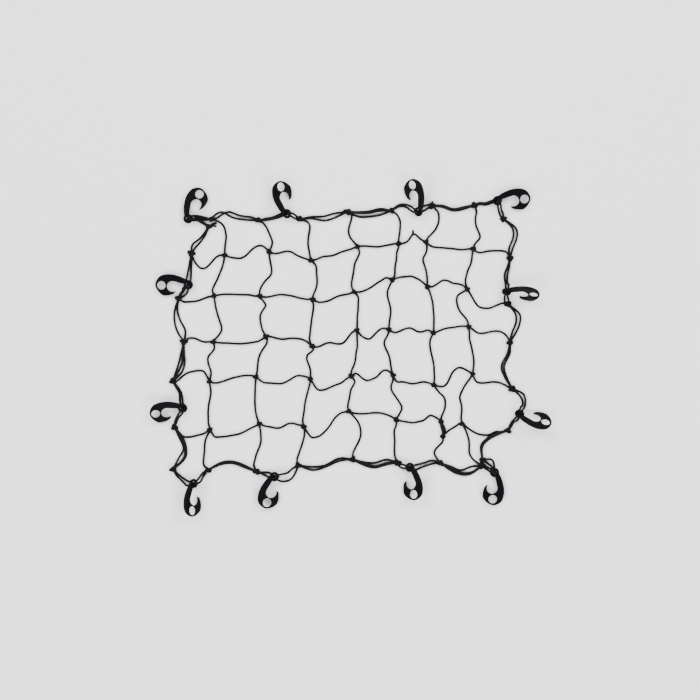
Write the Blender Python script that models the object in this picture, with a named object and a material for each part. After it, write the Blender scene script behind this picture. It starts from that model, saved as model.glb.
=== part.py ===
"""Cargo net laid out flat: eight meshes by six of elastic cord, knotted at every crossing, inside a doubled
border cord that runs through the eyes of twelve moulded plastic hooks.

Metres, +Z up, floor at z = 0. The net is drawn on a plan of small squares, with x to the right of the middle
and y above it, because a slack net has no exact sizes: its cords sway between their knots.
"""

import math

import bmesh
import bpy
from mathutils import Matrix, Vector

# Driving dimensions
SQUARE = 0.0023  # side of one square of the plan
PLAN_MIDDLE = (-0.4, 2)  # the place on the plan that lies at the origin
CORD_RADIUS = 0.002
CORD_SIDES = 4
CORD_CORNERS = 1.25 * CORD_RADIUS  # the four-sided cord has the round one's section
CORD_STRAYS = 0.001  # how far a cord's facets may leave its true curve
FACES_KEPT = 0.70  # share of the union's faces that the net needs
LAID_ON = 0.0004  # how much higher one cord lies than the next, where they meet
KNOT_HEIGHT = 0.0084
MESH_KNOT = (0.0132, 0.0104)  # length and width of a knot between two cords
BORDER_KNOT = (0.0158, 0.0128)  # and of a knot on the doubled border

HOOK_THICKNESS = 0.007
HOOK_CHAMFER = 0.0011
EYE_RADIUS = 0.0071
BOSS_RADIUS = 0.011
HEAD_HOLE_RADIUS = 0.0098
HEAD_HOLE_AT = 0.0622  # from the eye's centre, along the hook
THROAT_RADIUS = 0.0122
THROAT_CENTRE = (0.0374, -0.0029)
CLEAR = 0.0003  # what parts two pieces that touch, and a hook and the floor
CORD_GAP = 0.0012  # between the cord and the hook that it runs through
STRANDS_APART = 0.0052  # between the middles of the border's two strands in an eye
SHOULDER = BOSS_RADIUS + 0.002  # how far from an eye's centre its cord is past the boss

FLOOR_TO_CORD = CORD_CORNERS * math.cos(math.pi / CORD_SIDES)

# Where the knots lie on the plan. A row for each line of knots, from the top border to the bottom one, and in
# each row a place for the left border, the seven down cords and the right border.
KNOTS = (
    ((-142, 124), (-140, 130.4), (-92, 129.3), (-50.5, 130.5), (-3.5, 137.7), (40.4, 138.7), (81, 143.7),
     (123, 144.3), (152.4, 130.5)),
    ((-159.3, 96), (-126.2, 94.2), (-81.5, 98), (-39.6, 89.2), (6.5, 103.2), (48, 106.2), (75.2, 107.7),
     (122.2, 100.7), (159, 91)),
    ((-171.8, 51.7), (-136.7, 53.7), (-90.8, 53.4), (-38.2, 50), (3.3, 57.6), (41.5, 70), (76.5, 63.2),
     (116.5, 60.4), (157.4, 45.2)),
    ((-166.6, 7.7), (-137.5, 8), (-84.5, 13.2), (-38.5, 3.3), (6.2, 19.5), (38, 20), (82.5, 17),
     (117.7, 23), (159, 7.7)),
    ((-177.8, -31.3), (-141.3, -31.3), (-94.6, -27), (-40.3, -29), (0.4, -26.3), (42, -25), (83.2, -35.2),
     (121.6, -24.3), (161.4, -39.3)),
    ((-176, -77.3), (-140.6, -80), (-91.5, -73.8), (-47, -76.6), (-1.7, -61.8), (45.6, -70), (90, -71.4),
     (111.3, -74), (157, -80.6)),
    ((-177.3, -119.3), (-142.8, -120.3), (-93.8, -122), (-52.5, -115.4), (1.8, -109.5), (46.7, -112.7),
     (89.6, -113.2), (131.2, -116), (131.5, -110.3)),
)

# How far each strand sways off the straight line between its two knots, in squares, at a quarter, a half and
# three quarters of the way. A row for each down cord, left to right; plus is to the right.
DOWN_SWAYS = (
    ((8.5, 8, 4), (1.7, 0, -2.2), (2.4, 6, 8.7), (1.3, -3.2, 1.3), (1.8, -0.6, -1.2), (-3.6, -4, -4.5)),
    ((6, 6.8, 6.5), (3.5, 7, 1.2), (5.2, -2.3, -2.5), (1.3, -0.9, -0.4), (-1.2, -2.3, -2), (2.8, 1.6, -2)),
    ((7.5, 2.8, 0.8), (5.6, 6, 3.7), (0.9, -0.4, -1.4), (-3.4, -3, -0.6), (-0.5, -1, -1.4), (1.8, 1, -0.8)),
    ((2, -3, -3.9), (1.7, -1.7, -2.2), (3.9, 2.8, 1.5), (2.4, 2.6, 1.2), (2.5, 0.3, -0.3), (8.3, 10.6, 4.4)),
    ((7, 5.7, 2.9), (0, 1, 1.2), (-3, 0, 0.4), (-4.6, -3, -0.9), (-2.4, 2.2, 7), (-2, -1.7, -2.2)),
    ((9.4, 9.8, 5.8), (0.8, -2.2, 0.7), (3.7, 3.8, 2.6), (-2.8, -0.7, 0.8), (6, 8, 4.4), (2.6, 2.7, -6.2)),
    ((2.5, 3.5, 7.3), (0.5, -1.6, -2.7), (-10.3, -9, -4), (0.3, 2.2, 2.9), (-4.6, -7, -2.6), (0.2, -2, -6.2)),
)

# The same for the cross cords, a row for each from the top one down; plus is up.
CROSS_SWAYS = (
    ((-13.6, -12.6, -2.5), (-4.3, -1.7, 6), (0.2, 4.5, 1.3), (0, -2.3, -1), (-0.8, -2.2, -1.2),
     (-0.2, 11, 4.4), (-4.3, -3.5, -2.9), (-1.4, 2.7, 5)),
    ((-4.8, -4.6, -2), (1.3, 1.3, 1), (0.8, 2.5, 0.4), (-4.6, -2.8, -1), (-2.2, -0.9, 2.4),
     (3.8, 6.4, 5.4), (3.2, 7, 4), (-11.6, -11, -4.4)),
    ((3.5, 1.4, -0.4), (-3.4, -5, -4.6), (0.3, 2.6, 3.8), (-2.8, -5.5, -7), (-8, -6.5, 0.5),
     (-0.8, 2, -0.7), (1.5, 1.7, 1), (-3.6, 2, 6.5)),
    ((3.3, 8.8, 10.2), (-2.3, 0.5, 1.9), (-6, -6.5, 2), (-12.7, -10, -6.6), (-1.4, -4.6, 2.8),
     (-5, -4.2, 0.2), (-4, 5.8, 7.8), (-5.6, -0.9, 1.2)),
    ((-8.2, -8.2, -5), (-8.8, -8.6, -5.6), (-2.4, -3, 2), (-13.7, -11, 0), (-0.2, 2.2, 3.3),
     (-2.5, -1.7, 4), (-13, -7, -3), (-6.9, -8.4, -3)),
)

# The hooks, clockwise from the upper left: the plan places of the eye and of the hole in the head, the side of
# the throat as seen from the eye, and how many degrees the hook lies rolled up on its tip.
HOOKS = (
    ("hook_01", (-162.3, 130.7), (-152.1, 153.2), "right", 0),
    ("hook_02", (-63.8, 135.7), (-69.3, 160.9), "right", 28),
    ("hook_03", (67.4, 137.7), (61.6, 161.8), "left", 35),
    ("hook_04", (146.2, 148.7), (171.7, 150.2), "right", 10),
    ("hook_05", (155.2, 57.7), (182.3, 54.6), "right", 57),
    ("hook_06", (168.2, -63.8), (195, -72.5), "left", 42),
    ("hook_07", (143.2, -122.3), (141.6, -150.3), "right", 0),
    ("hook_08", (58.9, -117.3), (62.7, -145.6), "right", 28),
    ("hook_09", (-76.2, -126.5), (-83.8, -153.6), "left", 12),
    ("hook_10", (-156.8, -133.3), (-157.5, -161.7), "left", 46),
    ("hook_11", (-167.8, -58.3), (-194.7, -63.9), "left", 24),
    ("hook_12", (-162, 64.7), (-189.3, 64.3), "left", 6),
)

# The border, clockwise: where each span starts, as (line, place) of a knot or as a hook, and the sways of its
# outer and of its inner strand. Each span ends where the next one starts; plus is out from the net.
BORDER = (
    ((0, 0), (-1, -1.4, -0.5), (-3, -3.2, -2.2)),
    ("hook_01", (3, 3.3, 2), (1.2, 1.4, 1)),
    ((0, 1), (7.5, 6.3, 3.6), (5.4, 1.7, -0.2)),
    ((0, 2), (0, -0.5, 0.7), (-1.8, -2.3, -1)),
    ("hook_02", (3.5, 2.9, 1), (-1.1, -2.4, -1.5)),
    ((0, 3), (0.6, -0.9, 0.6), (-1.2, -5.3, -3.5)),
    ((0, 4), (-1, -0.8, 1.7), (-4.3, -4.8, -3.4)),
    ((0, 5), (6, 7, 5), (4.2, 4.8, 2.3)),
    ("hook_03", (3.3, 3.2, 2.8), (1.6, 0.7, -0.4)),
    ((0, 6), (0.5, -3.5, -1.6), (-1.3, -5.2, -3.8)),
    ((0, 7), (1.5, 0, -0.8), (-0.3, -1.9, -2.6)),
    ("hook_04", (2.6, 1.2, 1.5), (0.4, -1.7, -2)),
    ((0, 8), (10.6, 10.6, 4.7), (7.4, 6.7, 0.5)),
    ((1, 8), (0.4, -0.5, 0.2), (-1.5, -3.7, -1.7)),
    ("hook_05", (1.6, 1, 0.6), (-2, -3.2, -2.6)),
    ((2, 8), (10.6, 10, 5.6), (7.4, 7.8, 3.3)),
    ((3, 8), (-0.6, -7.2, -4.9), (-3.2, -10, -6.7)),
    ((4, 8), (8.6, 10, 8), (4.4, 6.6, 5.2)),
    ("hook_06", (0.7, 0.3, 0.7), (-1.1, -1.6, -1.1)),
    ((5, 8), (-5, -8.7, -8.8), (-7.3, -10.5, -10.7)),
    ((6, 8), (6, 7, 4), (1.5, 2, 1.5)),
    ("hook_07", (0.8, 0.6, 0.8), (-1, -1.3, -1)),
    ((6, 7), (8, 10.5, 6), (1.3, 6.3, 1.5)),
    ((6, 6), (-0.4, 0.8, 2.8), (-3.9, -2.4, 1)),
    ("hook_08", (3.6, 4, 3), (1.5, 1.6, 0.8)),
    ((6, 5), (2.9, 7, 4.9), (-2.4, 2, 1.9)),
    ((6, 4), (-0.6, 4.8, 6.5), (-2.5, 2.9, 3)),
    ((6, 3), (6.3, 9.8, 8.7), (0.5, 2.4, 2.7)),
    ("hook_09", (1.9, 1.5, 0.5), (-1, -1.9, -0.7)),
    ((6, 2), (-3.8, -7.8, -6), (-6, -9.6, -7.8)),
    ((6, 1), (0.8, 2.2, 3), (-1.4, -0.8, 0.6)),
    ("hook_10", (6, 4.6, 3.6), (1.6, 1.8, 1.3)),
    ((6, 0), (-4.6, -9.8, -4.9), (-11.2, -12.3, -8.8)),
    ((5, 0), (2, 2, 2.3), (0.2, 0.3, 0.5)),
    ("hook_11", (1.8, -1.9, -0.9), (-0.3, -4, -2.7)),
    ((4, 0), (-0.4, -0.7, 0), (-6, -6.7, -3)),
    ((3, 0), (5.4, 7, 5.4), (-2.8, 1.5, 2.8)),
    ((2, 0), (1.6, 1.4, 1.3), (-2.9, -3.7, -2.9)),
    ("hook_12", (3.3, 1.8, 0.9), (-0.1, -1.2, -0.9)),
    ((1, 0), (4.2, 1.4, 0.3), (-0.2, -1.5, -1.6)),
)

# Knots besides those where two lines meet, on the plan.
LOOSE_KNOTS = ((92.2, -86),)

# Spans of the border that hold a third strand: the span's first knot, its last knot and the strand's sways.
THIRD_STRANDS = (
    ((0, 4), (0, 5), (-2.6, -2.8, -1)),
    ((4, 0), (3, 0), (-2.6, -3.9, -1.5)),
)

# Cut ends that stick out of the knots: the knot, the way that the end points in degrees, and its length in
# squares.
TAILS = (
    ((0, 0), 26, 7.5),
    ((0, 0), 5, 8.5),
    ((0, 3), 150, 5),
    ((0, 6), 75, 5),
    ((3, 0), 160, 5),
    ((2, 0), 200, 5),
    ((5, 6), 285, 15),
    ((6, 7), 320, 6),
)


def plan(place, z=FLOOR_TO_CORD):
    """A point of the plan in metres, at height z."""
    x, y = ((value - middle) * SQUARE for value, middle in zip(place, PLAN_MIDDLE))
    return Vector((x, y, z))


def knot_at(line, place, above=0):
    return plan(KNOTS[line][place], KNOT_HEIGHT / 2 + above)


def sway_points(start, end, sways):
    """The points that a strand passes at a quarter, a half and three quarters of the way, on the floor."""
    run = (end - start).xy
    side = Vector((-run.y, run.x)).normalized()
    points = []
    for number, sway in enumerate(sways, start=1):
        point = start.xy + run * number / (len(sways) + 1) + side * sway * SQUARE
        points.append(Vector((*point, FLOOR_TO_CORD)))
    return points


def smooth(points, above=0, steps=6):
    """A curve through the points, none of it less than above over its place on the floor."""
    ends = [2 * points[0] - points[1], *points, 2 * points[-1] - points[-2]]
    curve = []
    for before, a, b, after in zip(ends, ends[1:], ends[2:], ends[3:]):
        for step in range(steps):
            t = step / steps
            curve.append(
                0.5 * (2 * a + (b - before) * t + (2 * before - 5 * a + 4 * b - after) * t ** 2
                       + (3 * a - before - 3 * b + after) * t ** 3)
            )
    curve.append(points[-1])
    for point in curve:
        point.z = max(point.z, FLOOR_TO_CORD + above)
    return curve


def thinned(points, stray=CORD_STRAYS):
    """The points without those that lie within a stray of the straight line past them."""
    if len(points) < 3:
        return points
    run = points[-1] - points[0]
    offs = [(p - points[0]).cross(run).length / run.length for p in points[1:-1]]
    worst = max(offs)
    if worst < stray:
        return [points[0], points[-1]]
    at = offs.index(worst) + 1
    return thinned(points[:at + 1], stray) + thinned(points[at:], stray)[1:]


def tube(name, points, into):
    """A closed cord along the points, flat side down, as a helper object in the collection."""
    mesh = bmesh.new()
    rings = []
    side = None
    for number, point in enumerate(points):
        ahead = points[min(number + 1, len(points) - 1)]
        behind = points[max(number - 1, 0)]
        way = (ahead - behind).normalized()
        level = way.cross(Vector((0, 0, 1)))
        if side is None or level.length > 0.2:
            # A cord that turns back over itself keeps its sides on their own side.
            back = side is not None and side.dot(level) < 0
            side = -level.normalized() if back else level.normalized()
        side = (side - way * side.dot(way)).normalized()
        top = side.cross(way)
        ring = []
        for corner in range(CORD_SIDES):
            turn = 2 * math.pi * (corner + 0.5) / CORD_SIDES - math.pi / 2
            ring.append(mesh.verts.new(point + CORD_CORNERS * (math.cos(turn) * side + math.sin(turn) * top)))
        rings.append(ring)
    for first, second in zip(rings, rings[1:]):
        for corner in range(CORD_SIDES):
            after = (corner + 1) % CORD_SIDES
            mesh.faces.new((first[corner], second[corner], second[after], first[after]))
    mesh.faces.new(rings[0])
    mesh.faces.new(reversed(rings[-1]))
    return helper(name, mesh, into)


def helper(name, mesh, into):
    bmesh.ops.recalc_face_normals(mesh, faces=mesh.faces)
    data = bpy.data.meshes.new(name)
    mesh.to_mesh(data)
    mesh.free()
    made = bpy.data.objects.new(name, data)
    made.hide_render = True
    made.display_type = "WIRE"
    into.objects.link(made)
    return made


def knot(name, place, size, turn, into):
    """A knot as a lumpy bead that stands on the floor."""
    mesh = bmesh.new()
    bmesh.ops.create_icosphere(mesh, subdivisions=1, radius=0.5)
    bmesh.ops.rotate(mesh, verts=mesh.verts, matrix=Matrix.Rotation(turn * 1.7, 3, "Z"))
    bmesh.ops.scale(mesh, verts=mesh.verts, vec=(*size, KNOT_HEIGHT))
    bmesh.ops.rotate(mesh, verts=mesh.verts, matrix=Matrix.Rotation(turn, 3, "Z"))
    bmesh.ops.translate(mesh, verts=mesh.verts, vec=place)
    return helper(name, mesh, into)


def material(name, colour, roughness):
    made = bpy.data.materials.new(name)
    made.use_nodes = True
    shader = made.node_tree.nodes["Principled BSDF"]
    shader.inputs["Base Color"].default_value = (*colour, 1)
    shader.inputs["Roughness"].default_value = roughness
    shader.inputs["Metallic"].default_value = 0
    return made


def arc(centre, radius, start, end, count):
    """Points of an arc, from start to end degrees."""
    points = []
    for number in range(count):
        turn = math.radians(start + (end - start) * number / (count - 1))
        points.append((centre[0] + radius * math.cos(turn), centre[1] + radius * math.sin(turn)))
    return points


def hook_outline():
    """The hook's edge in its own plane: the eye at the origin, the head along +X and the shank on +Y."""
    boss = arc((0, 0), BOSS_RADIUS, 75, 380, 9)
    throat = arc(THROAT_CENTRE, THROAT_RADIUS, 90, -90, 6)
    tip = [(0.0335, -0.0147), (0.0291, -0.0137), (0.033, -0.0189), (0.0423, -0.0227)]
    head = [(0.0525, -0.0238), (0.060, -0.0228), (0.0672, -0.0172), (0.0735, -0.0083), (0.0762, 0.001),
            (0.0744, 0.0095), (0.0696, 0.0172), (0.0615, 0.0228), (0.0493, 0.0253)]
    shank = [(0.0373, 0.0248), (0.0250, 0.0220), (0.0120, 0.0167)]
    return boss + throat + tip + head + shank


def hook_curve(name, side):
    """The hook's plate as a filled curve with its two holes; side is 1 with the throat on the right, or -1."""
    data = bpy.data.curves.new(name, "CURVE")
    data.dimensions = "2D"
    data.fill_mode = "BOTH"
    data.bevel_depth = HOOK_CHAMFER
    data.bevel_resolution = 0
    data.extrude = HOOK_THICKNESS / 2 - HOOK_CHAMFER
    data.offset = -HOOK_CHAMFER
    eye = arc((0, 0), EYE_RADIUS, 0, 324, 10)
    head_hole = arc((HEAD_HOLE_AT, 0), HEAD_HOLE_RADIUS, 0, 330, 12)
    for points in (hook_outline(), eye, head_hole):
        spline = data.splines.new("POLY")
        spline.points.add(len(points) - 1)
        for point, (x, y) in zip(spline.points, points):
            point.co = (x, y * side, 0, 1)
        spline.use_cyclic_u = True
    return data


def lowest(turn, reach):
    """The lowest point, under the eye's centre, of the hook's outline within reach, turned so."""
    heights = []
    for x, y in hook_outline():
        if reach[0] <= x <= reach[1]:
            for face in (-1, 1):
                heights.append((turn @ Vector((x, y, face * HOOK_THICKNESS / 2))).z)
    return min(heights)


def hook_pose(eye, head, side, roll):
    """Where a hook lies: rolled up on its tip, with its head on the floor and its eye just clear of it."""
    lean = math.radians(roll)
    half = HOOK_THICKNESS / 2
    on_edge = BOSS_RADIUS * math.sin(lean) + half * math.cos(lean) + CLEAR
    over_cord = (half + CORD_RADIUS + CORD_GAP) * math.cos(lean) + CORD_RADIUS
    eye_height = max(on_edge, over_cord)
    along = plan(head) - plan(eye)
    facing = Matrix.Rotation(math.atan2(along.y, along.x), 4, "Z")
    rolled = Matrix.Rotation(lean, 4, "X")
    low, high = math.radians(-30), math.radians(30)
    for _ in range(40):
        pitch = (low + high) / 2
        turn = (Matrix.Rotation(pitch, 4, "Y") @ rolled).to_3x3()
        if lowest(turn, (0.02, 1)) + eye_height > CLEAR:
            low = pitch
        else:
            high = pitch
    turned = Matrix.Rotation(pitch, 4, "Y") @ Matrix.Rotation(side * lean, 4, "X")
    return Matrix.Translation(plan(eye, eye_height)) @ facing @ turned


def through_eye(pose, before, after, strand):
    """The points by which a strand goes through a hook's eye, between two points on the floor."""
    centre = pose.translation
    coming = Vector((*(centre - before).xy, 0)).normalized()
    leaving = Vector((*(after - centre).xy, 0)).normalized()
    normal = pose.to_3x3() @ Vector((0, 0, 1))
    beside = (pose.to_3x3() @ Vector((1, 0, 0))) * strand * STRANDS_APART / 2
    straight = (coming + leaving) / 2
    if straight.dot(normal) < -0.02:
        normal = -normal
    axis = (normal + 0.7 * straight).normalized()
    off = normal * (HOOK_THICKNESS / 2 + CORD_RADIUS + CORD_GAP)
    mouth = axis * (HOOK_THICKNESS / 2 + CORD_GAP)
    rim = EYE_RADIUS + CORD_GAP
    middle = centre + beside
    return [
        middle - coming * SHOULDER - off,
        middle - coming * rim - off,
        middle - mouth,
        middle + mouth,
        middle + leaving * rim + off,
        middle + leaving * SHOULDER + off,
    ]


def border_tubes(poses, into):
    """The border's two strands, each a cord from knot to knot through any hook between them."""
    stations = [row[0] for row in BORDER]
    first = 0
    while first < len(BORDER):
        spans = [first]
        while isinstance(stations[(spans[-1] + 1) % len(stations)], str):
            spans.append(spans[-1] + 1)
        for column, strand, above in ((1, 1, 0), (2, -1, LAID_ON)):
            points = [station_point(stations[first], poses, -above)]
            for span in spans:
                start = station_point(stations[span], poses)
                end = station_point(stations[(span + 1) % len(stations)], poses, -above)
                passed = sway_points(start, end, BORDER[span][column])
                passed = [point for point in passed if clear_of_eyes(point, poses)]
                if isinstance(stations[span], str):
                    after = passed[0] if passed else end
                    points += through_eye(poses[stations[span]], points[-1], after, strand)
                points += passed
            points.append(end)
            tube(f"border_{first}_{column}", thinned(smooth(points, above)), into)
        first = spans[-1] + 1


def clear_of_eyes(point, poses):
    return all((point - pose.translation).xy.length > 1.4 * SHOULDER for pose in poses.values())


def station_point(station, poses, above=0):
    if isinstance(station, str):
        return poses[station].translation
    return knot_at(*station, above)


def mesh_cord(name, knots, sways, into):
    """A cord of the meshes, through its line of knots."""
    points = [knots[0]]
    for start, end, strand in zip(knots, knots[1:], sways):
        points += sway_points(start, end, strand)
        points.append(end)
    tube(name, thinned(smooth(points)), into)


def net(poses, finish):
    """Every cord and knot, joined into the one net."""
    pieces = bpy.data.collections.new("net pieces")
    pieces.hide_render = True
    bpy.context.scene.collection.children.link(pieces)
    lines = range(len(KNOTS))
    for number, sways in enumerate(DOWN_SWAYS, start=1):
        knots = [knot_at(line, number, LAID_ON) for line in lines]
        # The sways of a cord that runs down the plan have plus on its left, which is the plan's right.
        mesh_cord(f"down_{number}", knots, sways, pieces)
    for number, sways in enumerate(CROSS_SWAYS, start=1):
        knots = [knot_at(number, place, 2 * LAID_ON) for place in range(len(KNOTS[0]))]
        mesh_cord(f"cross_{number}", knots, sways, pieces)
    border_tubes(poses, pieces)
    for number, (start, end, sways) in enumerate(THIRD_STRANDS):
        mesh_cord(f"third_{number}", [knot_at(*start), knot_at(*end)], [sways], pieces)
    for number, (where, way, length) in enumerate(TAILS):
        start = knot_at(*where)
        reach = Vector((math.cos(math.radians(way)), math.sin(math.radians(way)), 0)) * length * SQUARE
        end = Vector((*(start + reach).xy, FLOOR_TO_CORD))
        tube(f"tail_{number}", [start, end], pieces)
    last = len(KNOTS[0]) - 1
    for line in lines:
        for place in range(last + 1):
            edge = line in (0, len(KNOTS) - 1) or place in (0, last)
            size = BORDER_KNOT if edge else MESH_KNOT
            turn = 0.9 * line + 1.3 * place
            knot(f"knot_{line}_{place}", knot_at(line, place), size, turn, pieces)
    for number, place in enumerate(LOOSE_KNOTS):
        knot(f"loose_knot_{number}", plan(place, KNOT_HEIGHT / 2), MESH_KNOT, number, pieces)
    made = pieces.objects["knot_0_0"]
    pieces.objects.unlink(made)
    bpy.context.scene.collection.objects.link(made)
    made.name = "net"
    made.hide_render = False
    made.display_type = "TEXTURED"
    made.data.materials.append(finish)
    union = made.modifiers.new("One net", "BOOLEAN")
    union.operation = "UNION"
    union.solver = "EXACT"
    union.operand_type = "COLLECTION"
    union.collection = pieces
    # The union leaves slivers where cords meet, which cost faces and show nothing.
    fewer = made.modifiers.new("Fewer slivers", "DECIMATE")
    fewer.ratio = FACES_KEPT


def main():
    for old in list(bpy.data.objects):
        bpy.data.objects.remove(old)
    cord_finish = material("Black elastic cord", (0.012, 0.012, 0.014), 0.75)
    hook_finish = material("Black moulded plastic", (0.014, 0.014, 0.016), 0.35)
    curves = {"right": hook_curve("Hook, throat right", 1), "left": hook_curve("Hook, throat left", -1)}
    poses = {}
    for name, eye, head, side, roll in HOOKS:
        hook = bpy.data.objects.new(name, curves[side])
        hook.matrix_world = hook_pose(eye, head, 1 if side == "right" else -1, roll)
        bpy.context.scene.collection.objects.link(hook)
        poses[name] = hook.matrix_world.copy()
    for data in curves.values():
        data.materials.append(hook_finish)
    net(poses, cord_finish)


main()
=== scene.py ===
"""Cargo net laid out flat: braided elastic cord, knotted into meshes inside a doubled border cord, with
twelve moulded hooks on the border.

The net is drawn on the same plan of small squares as its solids, x to the right of the middle and y above it,
because a slack net has no exact sizes: its cords sway between their knots.
"""

import math
import random

import bmesh
import bpy
from mathutils import Matrix, Vector


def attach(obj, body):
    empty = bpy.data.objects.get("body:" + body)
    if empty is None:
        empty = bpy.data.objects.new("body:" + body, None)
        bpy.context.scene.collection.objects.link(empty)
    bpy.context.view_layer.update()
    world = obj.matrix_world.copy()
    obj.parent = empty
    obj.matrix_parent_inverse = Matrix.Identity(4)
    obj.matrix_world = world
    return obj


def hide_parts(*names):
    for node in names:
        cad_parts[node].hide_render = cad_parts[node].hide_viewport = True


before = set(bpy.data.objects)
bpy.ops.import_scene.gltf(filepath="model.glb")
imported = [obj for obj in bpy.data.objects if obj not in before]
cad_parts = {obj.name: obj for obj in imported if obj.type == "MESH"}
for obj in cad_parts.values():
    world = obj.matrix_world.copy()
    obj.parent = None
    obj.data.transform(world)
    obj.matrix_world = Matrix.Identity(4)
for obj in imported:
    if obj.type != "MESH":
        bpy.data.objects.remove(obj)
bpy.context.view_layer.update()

bl_info = {
    "name": "Elastic Cargo Net",
    "version": (1, 0, 0),
    "blender": (4, 5, 0),
    "location": "View3D > Sidebar > Cargo Net",
    "description": "Builds a knotted elastic cargo net with moulded hooks, laid out flat",
    "category": "Add Mesh",
}

SQUARE = 0.0023  # side of one square of the plan
PLAN_MIDDLE = (-0.4, 2)  # the place on the plan that lies at the origin
KNOT_MIDDLE = 0.0046  # height of a knot's middle over the floor

# Where the knots lie on the plan. A row for each line of knots, from the top border to the bottom one, and in
# each row a place for the left border, the seven down cords and the right border.
KNOTS = (
    ((-142, 122.8), (-140, 130.4), (-92, 129.3), (-50.5, 130.5), (-3.5, 137.7), (40.4, 138.7), (81, 143.7),
     (123, 144.3), (152.4, 130.5)),
    ((-159.3, 96), (-126.2, 94.2), (-81.5, 98), (-39.6, 89.2), (6.5, 103.2), (48, 106.2), (75.2, 107.7),
     (122.2, 100.7), (159, 91)),
    ((-171.8, 51.7), (-136.7, 53.7), (-90.8, 53.4), (-38.2, 50), (3.3, 57.6), (41.5, 70), (76.5, 63.2),
     (116.5, 60.4), (157.4, 45.2)),
    ((-166.6, 7.7), (-137.5, 8), (-84.5, 13.2), (-38.5, 3.3), (6.2, 19.5), (38, 20), (82.5, 17),
     (117.7, 23), (159, 7.7)),
    ((-177.8, -31.3), (-141.3, -31.3), (-94.6, -27), (-40.3, -29), (0.4, -26.3), (42, -25), (83.2, -35.2),
     (121.6, -24.3), (161.4, -39.3)),
    ((-176, -77.3), (-140.6, -80), (-91.5, -73.8), (-47, -76.6), (-1.7, -61.8), (45.6, -70), (90, -71.4),
     (111.3, -74), (157, -80.6)),
    ((-177.3, -119.3), (-142.8, -120.3), (-93.8, -122), (-52.5, -115.4), (1.8, -109.5), (46.7, -112.7),
     (89.6, -113.2), (131.2, -116), (131.5, -110.3)),
)

# How far each strand sways off the straight line between its two knots, in squares, at each eighth of the
# way, or at each sixteenth where it bends sharply. A row for each down cord, left to right; plus is to the
# right.
DOWN_SWAYS = (
    ((6.4, 9.4, 9.7, 8.9, 7.2, 4.4, 2.2), (0.7, 0.8, 0.3, -0.4, -1.2, -2.4, -3.1),
     (1, 1.9, 3.6, 5.3, 7.5, 8.3, 4.8), (2, 0.4, -3.4, -3.5, -1.7, 0.6, 0.9),
     (0.9, 1.3, 0.2, -1.1, -1.7, -1.7, -1.6), (-2.1, -4, -4.6, -4.4, -4.7, -4.8, -4.6)),
    ((3.4, 4.9, 5.5, 5.9, 6.1, 6.1, 3.8), (1.5, 3.8, 6.1, 6.4, 2.5, 0, -1.3),
     (2.4, 4.6, -0.5, -3, -3.3, -3.2, -2.2), (2.3, 0.9, -1, -2, -1.8, -1.1, -0.3),
     (-1, -1.7, -2.3, -2.8, -3, -2.7, -1.9), (1.4, 2.2, 2.5, 1.1, -1.3, -2.5, -3.5)),
    ((7, 7.2, 4.8, 2.6, 1, 0.5, 0.1), (4.5, 5, 4.9, 5.3, 4.9, 3.4, 0.9),
     (1, 0.5, -0.4, -1.2, -1.8, -2.4, -2.8), (1.3, -4, -5, -3.6, -1.7, -0.4, -0.2),
     (-0.1, -0.7, -1.5, -2, -1.9, -1.8, -2), (1.4, 1.8, 1.3, 0.6, -0.4, -1.3, -2.1)),
    ((3.4, 1.4, -1.5, -3.9, -4.7, -3.8, -1.7), (2.8, 0.9, -1.3, -1.8, -2.2, -3, -3),
     (3.7, 3.5, 2.9, 2.5, 1.4, 1, 0.5), (0.7, 1.7, 2.4, 1.9, 2.2, 1.5, -0.3),
     (4.1, 2.7, 0.6, -0.1, -0.5, -1.3, -1.6), (4.9, 8.7, 10, 10, 7.8, 4, 0.7)),
    ((4.4, 5.9, 6.3, 5.2, 4, 2.5, 0.9), (0.3, -0.4, 0.2, 0.5, 0.4, 0.9, 1.7),
     (-2.2, -4.1, -3.1, -0.8, 0.7, 0.4, -0.1), (-1.7, -5.7, -5.3, -3.2, -1.6, -1.3, -0.9),
     (-0.3, -2.8, -2, 1.4, 4.5, 6.6, 3.5), (-0.3, -2.5, -2.5, -2.2, -2.7, -2.8, -2.3)),
    ((6.8, 8.6, 9.2, 8.7, 7.2, 4.5, 1.2), (0.8, -0.4, -3.7, -2.6, -1, -0.2, 0.2),
     (1.7, 2.7, 3.2, 2.9, 2.7, 2.1, 1.1), (-3.2, -3.6, -2.6, -1.1, 0.1, 0.2, 0.5),
     (1.6, 4.3, 7.6, 7.9, 7, 4.8, 1.7), (0.2, 2, 2.2, 2, -3.4, -6.5, -4.1)),
    ((2.9, 2, 1.8, 3, 5.6, 6.8, 1.8), (-0.2, 0.1, -0.2, -1.8, -2.7, -3.2, -2.6),
     (-8.8, -11, -10.8, -9.6, -7.2, -3.1, -0.5), (0.4, -0.2, 0.9, 1.6, 2.2, 2.4, 1.4),
     (-2.2, -5.1, -6.9, -7.9, -4.8, -3, -2.5), (0.4, 0.1, -0.8, -3.2, -6, -6.1, -3.6)),
)

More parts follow.
